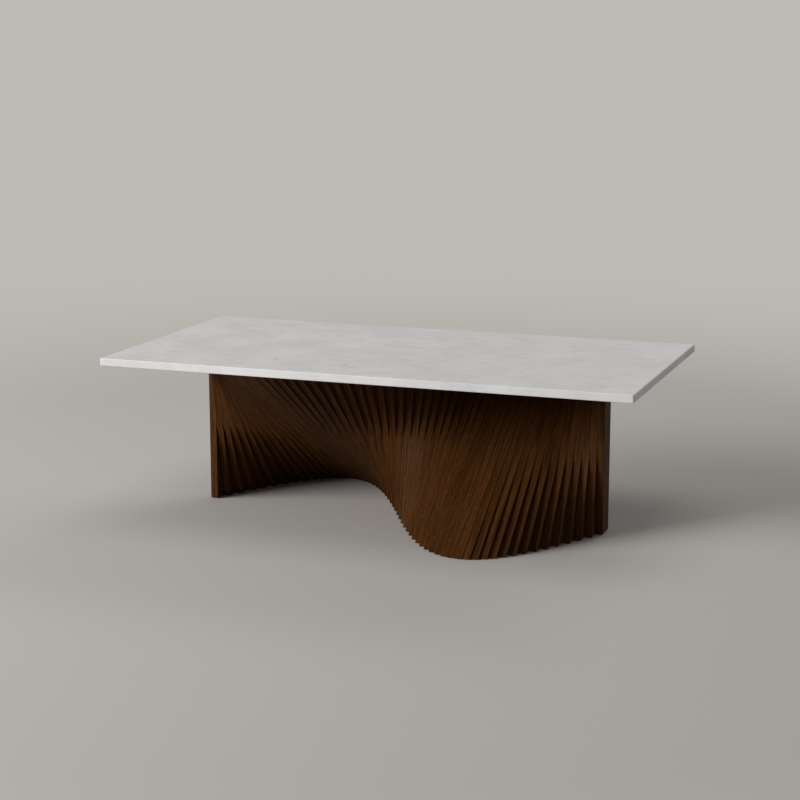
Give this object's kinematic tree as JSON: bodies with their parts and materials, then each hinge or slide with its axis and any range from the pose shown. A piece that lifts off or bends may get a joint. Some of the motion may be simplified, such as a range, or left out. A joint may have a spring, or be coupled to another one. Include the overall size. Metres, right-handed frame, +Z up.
{
  "type": "coffee table",
  "caption": "Low rectangular coffee table: a pale marble slab on a base of dark wood slats that stand face to face and lean in turn into a twisting wave.",
  "frame": {"origin": "on the floor, under the middle of the slab", "axes": "+Z up, +X along the table's length, -Y towards the side seen in the picture's front"},
  "size_m": [1.35, 0.7, 0.425],
  "materials": {
    "marble": "honed white marble with faint grey clouds, eased edges",
    "stained_wood": "dark walnut-brown stain, satin, open grain along each slat",
    "zinc_steel": "bright zinc plate",
    "pad_rubber": "matt punched sheet"
  },
  "bodies": {
    "root": {"marble_top": "marble", "end_slats": "stained_wood", "slat_02": "stained_wood", "slat_03": "stained_wood", "slat_04": "stained_wood", "slat_05": "stained_wood", "slat_06": "stained_wood", "slat_07": "stained_wood", "slat_08": "stained_wood", "slat_09": "stained_wood", "slat_10": "stained_wood", "slat_11": "stained_wood", "slat_12": "stained_wood", "slat_13": "stained_wood", "slat_14": "stained_wood", "slat_15": "stained_wood", "slat_16": "stained_wood", "slat_17": "stained_wood", "slat_18": "stained_wood", "slat_19": "stained_wood", "slat_20": "stained_wood", "slat_21": "stained_wood", "slat_22": "stained_wood", "slat_23": "stained_wood", "slat_24": "stained_wood", "slat_25": "stained_wood", "slat_26": "stained_wood", "slat_27": "stained_wood", "slat_28": "stained_wood", "slat_29": "stained_wood", "slat_30": "stained_wood", "slat_31": "stained_wood", "slat_32": "stained_wood", "slat_33": "stained_wood", "slat_34": "stained_wood", "slat_35": "stained_wood", "slat_36": "stained_wood", "slat_37": "stained_wood", "slat_38": "stained_wood", "slat_39": "stained_wood", "slat_40": "stained_wood", "slat_41": "stained_wood", "slat_42": "stained_wood", "slat_43": "stained_wood", "slat_44": "stained_wood", "slat_45": "stained_wood", "slat_46": "stained_wood", "slat_47": "stained_wood", "slat_48": "stained_wood", "slat_49": "stained_wood", "slat_50": "stained_wood", "slat_51": "stained_wood", "slat_52": "stained_wood", "slat_53": "stained_wood", "slat_54": "stained_wood", "slat_55": "stained_wood", "slat_56": "stained_wood", "tie_rod": "zinc_steel", "flange_nuts": "zinc_steel", "pads": "pad_rubber"}
  },
  "joints": []
}
